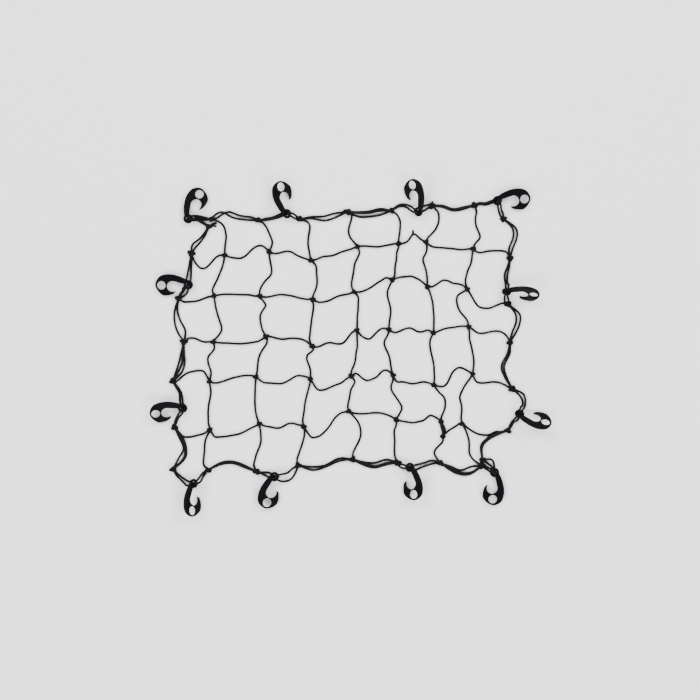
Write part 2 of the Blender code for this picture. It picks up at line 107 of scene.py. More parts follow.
# The same for the cross cords, a row for each from the top one down; plus is up.
CROSS_SWAYS = (
    ((-8.3, -13, -14.4, -12.4, -7.3, -2.1, 0.1), (-2.2, -3.7, -4.1, -1.1, 3.8, 6.6, 6.2),
     (-0.9, 1, 3.7, 4.4, 2.4, 1.2, 0.5), (-0.5, 0.3, -1, -1.6, -0.7, -0.6, -0.8),
     (0, -0.5, -1.4, -1.9, -1.4, -0.8, -0.1), (-0.3, 0.6, 2.8, 7.8, 8.2, 4.5, 1.6),
     (-3.7, -3.8, -3.3, -3, -2.6, -2.6, -1.1), (-2.2, -1.1, 1.4, 3.1, 4.4, 5.5, 5.4)),
    ((-4.2, -4.3, -4.4, -4.1, -3, -1.5, -0.3), (1.3, 1.8, 1.8, 1.6, 1.4, 1.5, 0.3),
     (-0.5, 1.2, 3, 2.9, 2.3, 0.8, 0.1), (-3.6, -4.2, -3.9, -2.3, -1, -0.8, -0.9),
     (-1.6, -1.9, -1.2, -0.1, 1.7, 2.7, 3.9), (2.6, 4.6, 5.6, 7, 6.2, 5, 2.7),
     (0, 3.6, 7.3, 7.1, 5, 4.8, 3.7), (-4.3, -8.8, -12.4, -12, -10, -5.2, -0.5)),
    ((3.3, 3.9, 3.6, 1.9, 0.3, -0.3, 0), (-1.9, -2.6, -3.8, -4.7, -4.8, -4.5, -3.6),
     (0.8, 0.4, 1, 3.2, 4.4, 4.8, 3.4), (-2.6, -1.8, -2.4, -6, -7.5, -4.5, -0.6),
     (-5.6, -8, -9.2, -6.3, -2, 0.9, 1.5), (-2.6, -0.7, 2.3, 3.1, 0.3, 0, 2.4),
     (0.4, 1.6, 2.1, 2, 1.8, 1.9, 1.3), (-1.2, -2.8, -0.8, 2.8, 5.6, 6.5, 4.8)),
    ((0.1, 4.3, 7.7, 9.2, 10.1, 10.5, 8.9), (-2.6, -1.9, -0.5, 1, 1.7, 2.2, 1.8),
     (-5.4, -5.7, -6.1, -5.6, -1.7, 2.6, 2.2), (-10.3, -12.2, -11.3, -9.4, -7.7, -6.2, -2.5),
     (2.8, -2.2, -5.1, -3.8, -1.4, 4.1, 4.5), (-6, -4.5, -4.3, -4.1, -1.8, 0.6, 0.6),
     (-3, -4, -0.1, 6, 9.3, 9.7, 5.6), (-5.6, -5.6, -3.3, -0.4, 1.2, 1.5, 0.7)),
    ((-4.4, -8.7, -9, -8.3, -6.9, -5.4, -3.4),
     (-7.4, -8.1, -8.4, -8.5, -8.6, -8.4, -8.3, -8.1, -7.8, -7.1, -6.1, -4.9, -3.7, -2.6, -1.7),
     (-2.1, -2.6, -3.5, -2.6, 1.3, 2.5, 1.1),
     (-11.8, -13.6, -14.1, -14.1, -13.1, -11.8, -10.2, -8.3, -5.9, -3.4, -1.3, 0, 1.1, 1.2, 0.7),
     (-0.7, -0.2, 1.1, 2.9, 3.9, 3.6, 2.5), (-1.1, -1.9, -2.5, -1.1, 0.5, 5.7, 3.7),
     (-8.5, -12.4, -9.1, -6.8, -4.8, -2.5, 0), (-3.1, -6.1, -7.9, -8, -6.9, -2.6, -3.2)),
)

# The hooks, clockwise from the upper left: the plan places of the eye and of the hole in the head, the side
# of the throat as seen from the eye, and how many degrees the hook lies rolled up on its tip.
HOOKS = (
    ("hook_01", (-162.3, 130.7), (-152.1, 153.2), "right", 0),
    ("hook_02", (-63.8, 135.7), (-69.3, 160.9), "right", 28),
    ("hook_03", (67.4, 137.7), (61.6, 161.8), "left", 35),
    ("hook_04", (146.2, 148.7), (171.7, 150.2), "right", 10),
    ("hook_05", (155.2, 57.7), (182.3, 54.6), "right", 57),
    ("hook_06", (168.2, -63.8), (195, -72.5), "left", 42),
    ("hook_07", (143.2, -122.3), (141.6, -150.3), "right", 0),
    ("hook_08", (58.9, -117.3), (62.7, -145.6), "right", 28),
    ("hook_09", (-76.2, -126.5), (-83.8, -153.6), "left", 12),
    ("hook_10", (-156.8, -133.3), (-157.5, -161.7), "left", 46),
    ("hook_11", (-167.8, -58.3), (-194.7, -63.9), "left", 24),
    ("hook_12", (-162, 64.7), (-189.3, 64.3), "left", 6),
)

# The border, clockwise: where each span starts, as (line, place) of a knot or as a hook, and the sways of its
# outer and of its inner strand. Each span ends where the next one starts; plus is out from the net.
BORDER = (
    ((0, 0), (-0.8, -1.6, -0.8), (-2, -3.2, -2.4)),
    ("hook_01", (2.8, 3, 1.6), (0.8, 0.6, -0.8)),
    ((0, 1), (5.8, 7.4, 3.9, 1.6, 0.6, 0, -0.2), (1.2, 5.3, 7.9, 6, 4, 3.5, 2.7)),
    ((0, 2), (0.2, -0.3, 0.9), (-1.5, -2, -0.7)),
    ("hook_02", (3.5, 2.9, 1), (-1.1, -2.4, -1.5)),
    ((0, 3), (0.6, -0.9, 0.6), (-1.2, -5.3, -3.5)),
    ((0, 4), (-0.4, 0, 2.5), (-5.2, -5.3, -3.9)),
    ((0, 5), (6, 7, 5), (4.2, 4.8, 2.3)),
    ("hook_03", (3.3, 3.2, 2.8), (1.6, 0.7, -0.4)),
    ((0, 6), (0.5, -3.5, -1.6), (-1.3, -5.2, -3.8)),
    ((0, 7), (1.5, 0, -0.8), (-0.3, -1.9, -2.6)),
    ("hook_04", (2.6, 1.2, 1.5), (0.4, -1.7, -2)),
    ((0, 8), (10.6, 10.6, 4.7), (7.4, 6.7, 0.5)),
    ((1, 8), (0.4, -0.5, 0.2), (-1.5, -3.7, -1.7)),
    ("hook_05", (1.6, 1, 0.6), (-2, -3.2, -2.6)),
    ((2, 8), (10.8, 10.8, 6.6), (6.8, 6.8, 2.5)),
    ((3, 8), (-0.6, -7.2, -4.9), (-3.2, -10, -6.7)),
    ((4, 8), (8.6, 10, 8), (4.4, 6.6, 5.2)),
    ("hook_06", (0.7, 0.3, 0.7), (-1.1, -1.6, -1.1)),
    ((5, 8), (-5, -8.7, -8.8), (-7.3, -10.5, -10.7)),
    ((6, 8), (6, 7, 4), (1.5, 2, 1.5)),
    ("hook_07", (0.8, 0.6, 0.8), (-1, -1.3, -1)),
    ((6, 7), (8.8, 10.2, 6.6), (1.2, 6, 2.6)),
    ((6, 6), (-0.4, 0.8, 2.8), (-3.9, -2.4, 1)),
    ("hook_08", (3.6, 4, 3), (1.5, 1.6, 0.8)),
    ((6, 5), (2.9, 7, 4.9), (-2.4, 2, 1.9)),
    ((6, 4), (0.2, 4.6, 6.6), (-2.7, 3, 3)),
    ((6, 3), (6.3, 9.8, 8.7), (0.5, 2.4, 2.7)),
    ("hook_09", (1.9, 1.5, 0.5), (-1, -1.9, -0.7)),
    ((6, 2), (-3.8, -7.8, -6), (-6, -9.6, -7.8)),
    ((6, 1), (0.8, 2.2, 3), (-1.4, -0.8, 0.6)),
    ("hook_10", (6, 4.6, 3.6), (1.6, 1.8, 1.3)),
    ((6, 0), (-4.6, -9.8, -4.9), (-11.2, -12.3, -8.8)),
    ((5, 0), (2, 2, 2.3), (0.2, 0.3, 0.5)),
    ("hook_11", (1.8, -1.9, -0.9), (-0.3, -4, -2.7)),
    ((4, 0), (-0.4, -0.7, 0), (-6, -6.7, -3)),
    ((3, 0), (5.4, 7, 5.4), (-2.8, 1.5, 2.8)),
    ((2, 0), (1.6, 1.4, 1.3), (-2.9, -3.7, -2.9)),
    ("hook_12", (2.4, 1.5, 0.8), (-0.1, -1.2, -0.9)),
    ((1, 0), (4.2, 1.4, 0.3), (-0.2, -1.5, -1.6)),
)

# A knot that ties the lower loop of cross cord 5 to down cord 6.
LOOSE_KNOTS = ((92.2, -86),)

# Two border knots that lie side by side, each as small as a knot of the meshes.
SMALL_KNOTS = ((0, 0), (0, 1))

# Spans of the border that hold one more strand: where it starts and ends, its sways, and whether it lies on
# the other two or beside them.
MORE_STRANDS = (
    ((0, 4), (0, 5), (-1.4, -1.7, 0.2), "on"),
    ((4, 0), (3, 0), (-2.6, -3.9, -1.5), "beside"),
    ("hook_01", (0, 1), (1.8, 1.8, 0.6), "on"),
    ("hook_01", (0, 0), (1.6, 2.4, 1.6), "on"),
    ((0, 2), "hook_02", (-0.7, -1.2, 0.1), "on"),
    ((0, 6), (0, 7), (-0.4, -4.4, -2.7), "on"),
    ((6, 7), (6, 6), (7, 8.2, 5), "beside"),
    ((6, 5), (6, 4), (1.4, 5.2, 3.2), "beside"),
    ((6, 0), (5, 0), (-9.4, -11.2, -7.2), "beside"),
    ((5, 8), (6, 8), (-6.4, -9.8, -9.6), "on"),
    ((2, 0), "hook_12", (0.5, 0.2, 0.3), "on"),
)

# Cut ends that stick out of the knots: the knot, the way that the end points in degrees, and its length in
# squares.
TAILS = (
    ((0, 0), 23, 9.2),
    ((0, 0), 1, 8),
    ((0, 3), 150, 5),
    ((0, 6), 75, 5),
    ((3, 0), 160, 5),
    ((2, 0), 200, 4),
    ((5, 6), 285, 15),
    ((6, 7), 320, 6),
)

# A cut end that stands off the peak of cross cord 1: where it starts and where it ends.
STUB = ((62.3, 115.2), (62, 119.8))


# ---------------------------------------------------------------- settings

class CordSettings(bpy.types.PropertyGroup):
    """The elastic cord of the meshes and of the border."""

    radius: bpy.props.FloatProperty(
        name="Radius", description="Half of the cord's thickness", default=0.0026, unit="LENGTH")
    sides: bpy.props.IntProperty(
        name="Sides", description="Sides of the round cord", default=10, min=6, max=24)
    spacing: bpy.props.FloatProperty(
        name="Spacing", description="Distance between the rings that make up the cord", default=0.003,
        unit="LENGTH")
    gap: bpy.props.FloatProperty(
        name="Gap", description="Air between the cord and the hook that it runs through", default=0.0012,
        unit="LENGTH")
    strands_apart: bpy.props.FloatProperty(
        name="Strands apart", description="Distance between the border's two strands in an eye",
        default=0.0053, unit="LENGTH")
    plait: bpy.props.FloatProperty(
        name="Plait", description="Length of one crossing of the braided sheath", default=0.0019,
        unit="LENGTH")
    carriers: bpy.props.IntProperty(
        name="Carriers", description="Yarns each way round the braided sheath", default=8, min=4, max=16)
    colour: bpy.props.FloatVectorProperty(
        name="Sheath", description="Colour of the braided sheath", default=(0.0030, 0.0032, 0.0038),
        subtype="COLOR", min=0, max=1)
    # Painted light: a lighter colour laid on the yarns' crowns, while the sheath colour stays in the grooves
    # between them as painted shade.
    crown_light_colour: bpy.props.FloatVectorProperty(
        name="Yarn crowns", description="Colour of the sheath where its yarns stand up",
        default=(0.0085, 0.0090, 0.0108), subtype="COLOR", min=0, max=1)


class KnotSettings(bpy.types.PropertyGroup):
    """The knots where two cords meet."""

    mesh_size: bpy.props.FloatVectorProperty(
        name="Mesh knot", description="Length, width and height of a knot between two cords",
        default=(0.0162, 0.0142, 0.0096), unit="LENGTH")
    border_size: bpy.props.FloatVectorProperty(
        name="Border knot", description="Length, width and height of a knot on the doubled border",
        default=(0.0200, 0.0168, 0.0102), unit="LENGTH")
    tilt: bpy.props.FloatProperty(
        name="Tilt", description="How far a knot may lean out of level", default=math.radians(7),
        subtype="ANGLE")
    spread: bpy.props.FloatProperty(
        name="Size spread", description="Share by which a knot may be bigger or smaller", default=0.06,
        subtype="FACTOR", min=0, max=0.5)
    seed: bpy.props.IntProperty(
        name="Seed", description="Which way the knots happen to lie", default=7)


class HookSettings(bpy.types.PropertyGroup):
    """The moulded hooks."""

    thickness: bpy.props.FloatProperty(
        name="Thickness", description="Thickness of the hook's plate", default=0.007, unit="LENGTH")
    edge: bpy.props.FloatProperty(
        name="Edge radius", description="Rounding of the hook's edges", default=0.0019, unit="LENGTH")
    eye_radius: bpy.props.FloatProperty(
        name="Eye", description="Radius of the eye that the border cord runs through", default=0.0054,
        unit="LENGTH")
    head_hole_radius: bpy.props.FloatProperty(
        name="Head hole", description="Radius of the hole in the hook's head", default=0.0098, unit="LENGTH")
    head_hole_at: bpy.props.FloatProperty(
        name="Head hole place", description="Distance from the eye's centre to the head hole's",
        default=0.0622, unit="LENGTH")
    colour: bpy.props.FloatVectorProperty(
        name="Plastic", description="Colour of the moulded plastic", default=(0.0022, 0.0026, 0.0036),
        subtype="COLOR", min=0, max=1)


class StageSettings(bpy.types.PropertyGroup):
    """The floor, the lights and the camera."""

    floor_colour: bpy.props.FloatVectorProperty(
        name="Floor", description="Colour of the floor", default=(0.93, 0.93, 0.93), subtype="COLOR",
        min=0, max=1)
    softbox_power: bpy.props.FloatProperty(
        name="Overhead light", description="Power of the overhead softbox", default=60, unit="POWER")
    side_strength: bpy.props.FloatProperty(
        name="Side lights", description="Strength of each of the four broad lights round the net",
        default=2.87)
    surroundings: bpy.props.FloatProperty(
        name="Surroundings", description="Strength of the pale light from all round", default=0.2)
    backdrop: bpy.props.FloatProperty(
        name="Backdrop", description="Brightness of what is seen past the floor", default=2.4)
    view_width: bpy.props.FloatProperty(
        name="View width", description="Width of floor that the camera sees", default=1.61, unit="LENGTH")
    camera_height: bpy.props.FloatProperty(
        name="Camera height", description="Height of the camera over the floor", default=3.2, unit="LENGTH")


# ---------------------------------------------------------------- sizes that stay as they are

# The hook in its own plane: its eye at the origin, its head along +X and its shank on +Y.
BOSS_RADIUS = 0.011
THROAT_RADIUS = 0.0122
THROAT_CENTRE = (0.0374, -0.0029)
BEAK = (0.0291, -0.0137)  # the hook's point
IN_BEAK = (0.0335, -0.0147)  # between the point and the throat
UNDER_BEAK = ((0.0330, -0.0189), (0.0423, -0.0227), (0.0525, -0.0238), (0.0600, -0.0228), (0.0672, -0.0172))
ROUND_HEAD = ((0.0735, -0.0083), (0.0762, 0.0010), (0.0744, 0.0095), (0.0696, 0.0172), (0.0615, 0.0228))
DOWN_SHANK = ((0.0493, 0.0253), (0.0373, 0.0248), (0.0250, 0.0220), (0.0120, 0.0167))
# Arcs of its outline: from and to, in degrees, and how many points.
BOSS_ARC, THROAT_ARC = (80, 372, 30), (97, -90, 22)
EYE_ARC, HEAD_HOLE_ARC = (350, 0, 36), (352, 0, 45)
THROAT_OUTLINE = (90, -90, 6)  # the throat again, in few points
PARTING_HEIGHT = 0.00022  # half of the height of the parting line on the hook's walls
PARTING_DEPTH = 0.00012  # how far the parting line stands out
ROUNDING_TURNS = (90, 72, 54, 36, 18, 0)  # degrees, the steps of a rounded edge
MOST_ROUNDED = 0.4  # share of a narrow wall that its rounded edge may take
RIM = 0.0004  # flat rim between a rounded edge and the face
MOST_RIM = 0.46  # share of a narrow wall that the edge and its rim may take
PARALLEL = 1e-12  # two lines whose cross product is less than this never meet
HERE = 1e-6  # what is nearer to an edge point than this is the point itself

# How the hooks lie. Their heights come from the solids' cord, which is 4 mm thick.
CLEAR = 0.0003  # what parts a hook from the floor
UNDER_HOOK = 0.0032  # room between a hook's plate and the middle of a cord under it
LAID_MIDDLE = 0.002  # height of the middle of a cord on the floor, where a hook lies over it
STEEPEST = math.radians(30)  # most that a hook slopes from its eye to its head
HALVINGS = 40  # steps that find the slope

# How the cords lie.
SHOULDER = BOSS_RADIUS + 0.002  # how far from an eye's centre its cord is past the boss
EYE_ROOM = 1.4 * SHOULDER  # no sway comes nearer to an eye's centre than this
TURNED_BACK = 0.5  # a strand that turns by more than 120 degrees at an eye has a mean way shorter than this
LEVEL = 0.02  # slope within which a strand may go through an eye from either side
SLANT = 0.7  # how far a strand slants along its way where it is in an eye
ON_TOP = 2.5  # height of a strand that lies on the others, in radii of the cord
IN_BOSS = 0.9  # where a strand that ends at a hook stops, in radii of the boss
MESH_EASE, BORDER_EASE = 8, 5  # passes that round off a cord's bends
TAIL_BOW = 0.12  # how far a cut end bows to one side, for its length
TAIL_BOW_AT = 0.55  # where along it
TAIL_RISE = 1.05  # height of its middle there, in radii of the cord
CUT_END = 0.55  # thickness of the very end, as a share of the cord's

# The knots.
KNOT_WAYS = ((1, 0.0), (-1, 0.6), (1, 1.3))  # hand, and turn in radians, of each kind of knot
KNOT_STEPS = 60
KNOT_REACH = (2.76, 3)  # how far the line of an overhand knot reaches along X and Y before it is sized
KNOT_SPACING = 0.0016  # distance between the rings of a knot's cord
KNOT_SQUEEZE = 0.97  # thickness of the cord in a knot, as a share of the cord's
TWO_MESHES = 90  # squares
KNOT_SWING = 0.5  # radians that a knot may turn off the line of its cord

FLOOR_REACH = 60.0
OVERHEAD = (0.0, 1.9, 3.6)  # above and past the top of the net, so that the upper hooks catch it most
OVERHEAD_SIZE = 3.0
SIDE_LIGHTS = ((2.4, 2.4, 2.6), (-2.4, 2.4, 2.6), (-2.4, -2.4, 2.6), (2.4, -2.4, 2.6))
SIDE_LIGHT_SPREAD = math.radians(34)
VIEW_MIDDLE = (-0.8, -0.3)  # the place on the plan under the camera


# ---------------------------------------------------------------- the net's lines

def plan(place, z):
    """A point of the plan in metres, at height z."""
    x, y = ((value - middle) * SQUARE for value, middle in zip(place, PLAN_MIDDLE))
    return Vector((x, y, z))


def knot_at(line, place):
    """The middle of a knot, by its line and its place in that line."""
    return plan(KNOTS[line][place], KNOT_MIDDLE)


def sway_points(start, end, sways, lowest):
    """The points that a strand passes on the floor, at even steps from one end to the other."""
    run = (end - start).xy
    side = Vector((-run.y, run.x)).normalized()
    points = []
    for number, sway in enumerate(sways, start=1):
        point = start.xy + run * number / (len(sways) + 1) + side * sway * SQUARE
        points.append(Vector((*point, lowest)))
    return points


def smooth(points, lowest=None, steps=8):
    """A curve through the points, none of it under the lowest height."""
    ends = [2 * points[0] - points[1], *points, 2 * points[-1] - points[-2]]
    curve = []
    for before, a, b, after in zip(ends, ends[1:], ends[2:], ends[3:]):
        for step in range(steps):
            t = step / steps
            curve.append(
                0.5 * (2 * a + (b - before) * t + (2 * before - 5 * a + 4 * b - after) * t ** 2
                       + (3 * a - before - 3 * b + after) * t ** 3)
            )
    curve.append(points[-1])
    if lowest is not None:
        for point in curve:
            point.z = max(point.z, lowest)
    return curve


def eased(curve, passes):
    """The curve with its sharp bends rounded off, as a springy cord lies."""
    for _ in range(passes):
        inner = [(a + 2 * b + c) / 4 for a, b, c in zip(curve, curve[1:], curve[2:])]
        curve = [curve[0], *inner, curve[-1]]
    return curve


def arc(centre, radius, start, end, count):
    """Points of an arc, from start to end degrees."""
    points = []
    for number in range(count):
        turn = math.radians(start + (end - start) * number / (count - 1))
        points.append(Vector((centre[0] + radius * math.cos(turn), centre[1] + radius * math.sin(turn))))
    return points


def lowest_under_eye(turn, half):
    """The lowest point, under the eye's centre, of a hook's head and tip when it is turned so."""
    outline = [*arc(THROAT_CENTRE, THROAT_RADIUS, *THROAT_OUTLINE), IN_BEAK, BEAK]
    outline += [*UNDER_BEAK, *ROUND_HEAD, *DOWN_SHANK[:3]]
    return min((turn @ Vector((x, y, face * half))).z for x, y in outline for face in (-1, 1))


def hook_pose(eye, head, side, roll, half):
    """Where a hook lies: rolled up on its tip, with its head on the floor and its eye just clear of it."""
    lean = math.radians(roll)
    on_edge = BOSS_RADIUS * math.sin(lean) + half * math.cos(lean) + CLEAR
    over_cord = (half + UNDER_HOOK) * math.cos(lean) + LAID_MIDDLE
    eye_height = max(on_edge, over_cord)
    along = plan(head, 0) - plan(eye, 0)
    facing = Matrix.Rotation(math.atan2(along.y, along.x), 4, "Z")
    rolled = Matrix.Rotation(lean, 4, "X")
    low, high = -STEEPEST, STEEPEST
    for _ in range(HALVINGS):
        pitch = (low + high) / 2
        turn = (Matrix.Rotation(pitch, 4, "Y") @ rolled).to_3x3()
        if lowest_under_eye(turn, half) + eye_height > CLEAR:
            low = pitch
        else:
            high = pitch
    turned = Matrix.Rotation(pitch, 4, "Y") @ Matrix.Rotation(side * lean, 4, "X")
    return Matrix.Translation(plan(eye, eye_height)) @ facing @ turned


def hook_poses(hooks):
    """Where each hook lies, by its name."""
    poses = {}
    for name, eye, head, side, roll in HOOKS:
        poses[name] = hook_pose(eye, head, 1 if side == "right" else -1, roll, hooks.thickness / 2)
    return poses


def through_eye(pose, before, after, strand, cord, hooks):
    """The points by which a strand goes through a hook's eye, between two points on the floor."""
    centre = pose.translation
    half = hooks.thickness / 2
    coming = Vector((*(centre - before).xy, 0)).normalized()
    leaving = Vector((*(after - centre).xy, 0)).normalized()
    normal = pose.to_3x3() @ Vector((0, 0, 1))
    straight = (coming + leaving) / 2
    out_from_net = pose.to_3x3() @ Vector((1, 0, 0))
    if straight.length > TURNED_BACK:
        across = Vector((-straight.y, straight.x, 0))
        out_from_net = (across - normal * across.dot(normal)).normalized()
    beside = out_from_net * strand * cord.strands_apart / 2
    if straight.dot(normal) < -LEVEL:
        normal = -normal
    axis = (normal + SLANT * straight).normalized()
    off = normal * (half + cord.radius + cord.gap)
    mouth = axis * (half + cord.gap)
    rim = hooks.eye_radius + cord.gap
    middle = centre + beside
    far_side = (coming - leaving) * cord.radius / 4
    return [
        middle - coming * SHOULDER - off,
        middle - coming * rim - off,
        middle - mouth + far_side,
        middle + mouth + far_side,
        middle + leaving * rim + off,
        middle + leaving * SHOULDER + off,
    ]


def clear_of_eyes(point, poses):
    """Whether a point of the border leaves room round every eye."""
    return all((point - pose.translation).xy.length > EYE_ROOM for pose in poses.values())


def station_point(station, poses):
    """The eye or the knot at which a span of the border starts."""
    return poses[station].translation if isinstance(station, str) else knot_at(*station)


def border_lines(poses, cord, hooks):
    """The border's two strands, each as lines from knot to knot through any hook between them."""
    stations = [row[0] for row in BORDER]
    lines = []
    first = 0
    while first < len(BORDER):
        spans = [first]
        while isinstance(stations[(spans[-1] + 1) % len(stations)], str):
            spans.append(spans[-1] + 1)
        for column, strand in ((1, 1), (2, -1)):
            points = [station_point(stations[first], poses)]
            for span in spans:
                start = station_point(stations[span], poses)
                end = station_point(stations[(span + 1) % len(stations)], poses)
                passed = sway_points(start, end, BORDER[span][column], cord.radius)
                passed = [point for point in passed if clear_of_eyes(point, poses)]
                if isinstance(stations[span], str):
                    after = passed[0] if passed else end
                    points += through_eye(poses[stations[span]], points[-1], after, strand, cord, hooks)
                points += passed
            points.append(end)
            lines.append(eased(smooth(points, cord.radius), BORDER_EASE))
        first = spans[-1] + 1
    return lines


def mesh_line(knots, sways, cord):
    """A cord of the meshes, through its line of knots."""
    points = [knots[0]]
    for start, end, strand in zip(knots, knots[1:], sways):
        points += sway_points(start, end, strand, cord.radius)
        points.append(end)
    return eased(smooth(points, cord.radius), MESH_EASE)


def tail_line(where, way, length, cord):
    """A cut end, which drops from its knot to the floor."""
    start = knot_at(*where)
    way = math.radians(way)
    reach = Vector((math.cos(way), math.sin(way), 0)) * length * SQUARE
    bow = Vector((-reach.y, reach.x, 0)) * TAIL_BOW
    middle = Vector((*(start.lerp(start + reach, TAIL_BOW_AT) + bow).xy, cord.radius * TAIL_RISE))
    end = Vector((*(start + reach).xy, cord.radius))
    return smooth([start, middle, end], cord.radius)


def net_lines(poses, cord, hooks):
    """Every stretch of cord in the net: (points, whether its far end is a cut one)."""
    lines = [(line, False) for line in border_lines(poses, cord, hooks)]
    for number, sways in enumerate(DOWN_SWAYS, start=1):
        knots = [knot_at(row, number) for row in range(len(KNOTS))]
        lines.append((mesh_line(knots, sways, cord), False))
    for number, sways in enumerate(CROSS_SWAYS, start=1):
        knots = [knot_at(number, place) for place in range(len(KNOTS[0]))]
        lines.append((mesh_line(knots, sways, cord), False))
    for start, end, sways, lies in MORE_STRANDS:
        height = cord.radius * (ON_TOP if lies == "on" else 1)
        ends = [station_point(station, poses) for station in (start, end)]
        for number, station in enumerate((start, end)):
            if isinstance(station, str):
                inward_way = (ends[1 - number] - ends[number]).xy.normalized()
                ends[number] = Vector((*(ends[number].xy + inward_way * BOSS_RADIUS * IN_BOSS), height))
        lines.append((smooth([ends[0], *sway_points(*ends, sways, height), ends[1]], cord.radius), False))
    for where, way, length in TAILS:
        lines.append((tail_line(where, way, length, cord), True))
    lines.append((smooth([plan(place, cord.radius) for place in STUB]), True))
    return lines


# ---------------------------------------------------------------- small helpers

def nodes_of(tree):
    """(add, join): add a node with its properties and plain inputs, and join one socket to another."""
    def add(kind, values=(), **properties):
        node = tree.nodes.new(kind)
        for name, value in properties.items():
            setattr(node, name, value)
        for socket, value in dict(values).items():
            if isinstance(value, bpy.types.NodeSocket):
                tree.links.new(value, node.inputs[socket])
            else:
                node.inputs[socket].default_value = value
        return node

    return add, tree.links.new


def empty_tree(name, kind, inputs, outputs):
    """A node tree with its sockets, as (label, type) or (label, type, value), and its two end nodes."""
    tree = bpy.data.node_groups.new(name, kind)
    for label, socket_type, *values in inputs:
        socket = tree.interface.new_socket(label, in_out="INPUT", socket_type=socket_type)
        for value in values:
            socket.default_value = value
    for label, socket_type in outputs:
        tree.interface.new_socket(label, in_out="OUTPUT", socket_type=socket_type)
    return tree, tree.nodes.new("NodeGroupInput"), tree.nodes.new("NodeGroupOutput")


def new_object(name, data):
    """A new object in the scene, at the origin."""
    made = bpy.data.objects.new(name, data)
    bpy.context.scene.collection.objects.link(made)
    return made


def drop(*objects):
    """Removes objects that have served."""
    for made in objects:
        bpy.data.objects.remove(made, do_unlink=True)


def as_mesh(name, source):
    """The evaluated source as a plain mesh object, in place of the source."""
    bpy.context.view_layer.update()
    graph = bpy.context.evaluated_depsgraph_get()
    mesh = bpy.data.meshes.new_from_object(source.evaluated_get(graph), depsgraph=graph)
    mesh.name = name
    drop(source)
    return new_object(name, mesh)


def run_tree(target, tree, **inputs):
    """Gives an object a Geometry Nodes modifier, with its inputs set by their sockets' identifiers."""
    modifier = target.modifiers.new(tree.name, "NODES")
    modifier.node_group = tree
    for item in tree.interface.items_tree:
        key = item.name.lower().replace(" ", "_")
        if item.item_type == "SOCKET" and item.in_out == "INPUT" and key in inputs:
            modifier[item.identifier] = inputs[key]
    return modifier


def settled(piece, slot, *replaced):
    """Puts a piece on the net's one body and hides the solids that it stands for; its kind of material, slot,
    is not used.
    """
    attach(piece, "root")
    if replaced:
        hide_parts(*replaced)


# ---------------------------------------------------------------- materials

SURFACE_OUT = (("Colour", "NodeSocketColor"), ("Roughness", "NodeSocketFloat"), ("Height", "NodeSocketFloat"))
YARN_ROUND, YARN_LONG = 0.7, 0.3  # how a yarn's height falls off across it, and towards where it dips
FILAMENTS = 5  # across a yarn
FILAMENT_HEIGHT = 0.05  # of a yarn's
CROWN_LIGHT_SPREAD, CROWN_LIGHT_LEAST = 1.1, 0.15  # how patchy the painted light on the yarns' crowns is, and the least of it
SHEATH_ROUGHNESS, CROWN_POLISH = 0.68, -0.16
PLASTIC_ROUGHNESS, FLOW_DULLS, MARKS_DULL = 0.30, 0.16, 0.12
RUBBED_FROM, RUBBED_TO = 0.56, 0.74  # of the noise that the rubbed marks come from
RUBBED_COLOUR = (0.0050, 0.0055, 0.0070, 1)


def braid_group():
    """A plain braid of yarns on the cord's own map: once round it in U, in metres along it in V."""
    tree, given, out = empty_tree(
        "Braided sheath", "ShaderNodeTree",
        (("Carriers", "NodeSocketFloat", 8.0), ("Plait", "NodeSocketFloat", 0.002),
         ("Sheath", "NodeSocketColor", (0.01, 0.01, 0.01, 1)),
         ("Crowns", "NodeSocketColor", (0.03, 0.03, 0.03, 1))),
        SURFACE_OUT,
    )
    add, join = nodes_of(tree)

    def maths(operation, *values, clamp=False):
        node = add("ShaderNodeMath", enumerate(values), operation=operation, use_clamp=clamp)
        return node.outputs[0]

    place = add("ShaderNodeSeparateXYZ", {0: add("ShaderNodeUVMap", uv_map="UVMap").outputs[0]})
    across = maths("MULTIPLY", place.outputs[0], given.outputs["Carriers"])
    along = maths("DIVIDE", place.outputs[1], given.outputs["Plait"])
    right = maths("ADD", across, along)
    left = maths("SUBTRACT", across, along)
    cells = maths("ADD", maths("FLOOR", right), maths("FLOOR", left))
    right_on_top = maths("FLOORED_MODULO", cells, 2.0)
    right_part = maths("FRACT", right)
    left_part = maths("FRACT", left)
    right_ridge = maths("SINE", maths("MULTIPLY", right_part, math.pi))
    left_ridge = maths("SINE", maths("MULTIPLY", left_part, math.pi))
    right_yarn, left_yarn = (
        maths("MULTIPLY", maths("POWER", across_it, YARN_ROUND), maths("POWER", along_it, YARN_LONG))
        for across_it, along_it in ((right_ridge, left_ridge), (left_ridge, right_ridge)))
    yarn = add("ShaderNodeMix", {0: right_on_top, 2: left_yarn, 3: right_yarn}, data_type="FLOAT").outputs[0]
    across_yarn = add("ShaderNodeMix", {0: right_on_top, 2: left_part, 3: right_part}, data_type="FLOAT")
    filaments = maths("SINE", maths("MULTIPLY", across_yarn.outputs[0], FILAMENTS * 2 * math.pi))
    height = maths("MULTIPLY_ADD", filaments, FILAMENT_HEIGHT, yarn)
    # Painted light and shade: where a yarn stands highest it is painted in the lighter crown colour, and the
    # grooves between the yarns keep the darker sheath colour as painted shade; patchy noise varies how much.
    where = add("ShaderNodeTexCoord").outputs["Object"]
    spots = add("ShaderNodeTexNoise", {"Scale": 55.0, "Detail": 3.0, "Vector": where})
    crown_light_patches = maths("MULTIPLY_ADD", spots.outputs[0], CROWN_LIGHT_SPREAD, CROWN_LIGHT_LEAST)
    crown = maths("MULTIPLY", maths("POWER", yarn, 2.0), crown_light_patches, clamp=True)
    colour = add("ShaderNodeMix", {0: crown, 6: given.outputs["Sheath"], 7: given.outputs["Crowns"]},
                 data_type="RGBA")
    join(colour.outputs[2], out.inputs["Colour"])
    join(maths("MULTIPLY_ADD", crown, CROWN_POLISH, SHEATH_ROUGHNESS), out.inputs["Roughness"])
    join(height, out.inputs["Height"])
    return tree


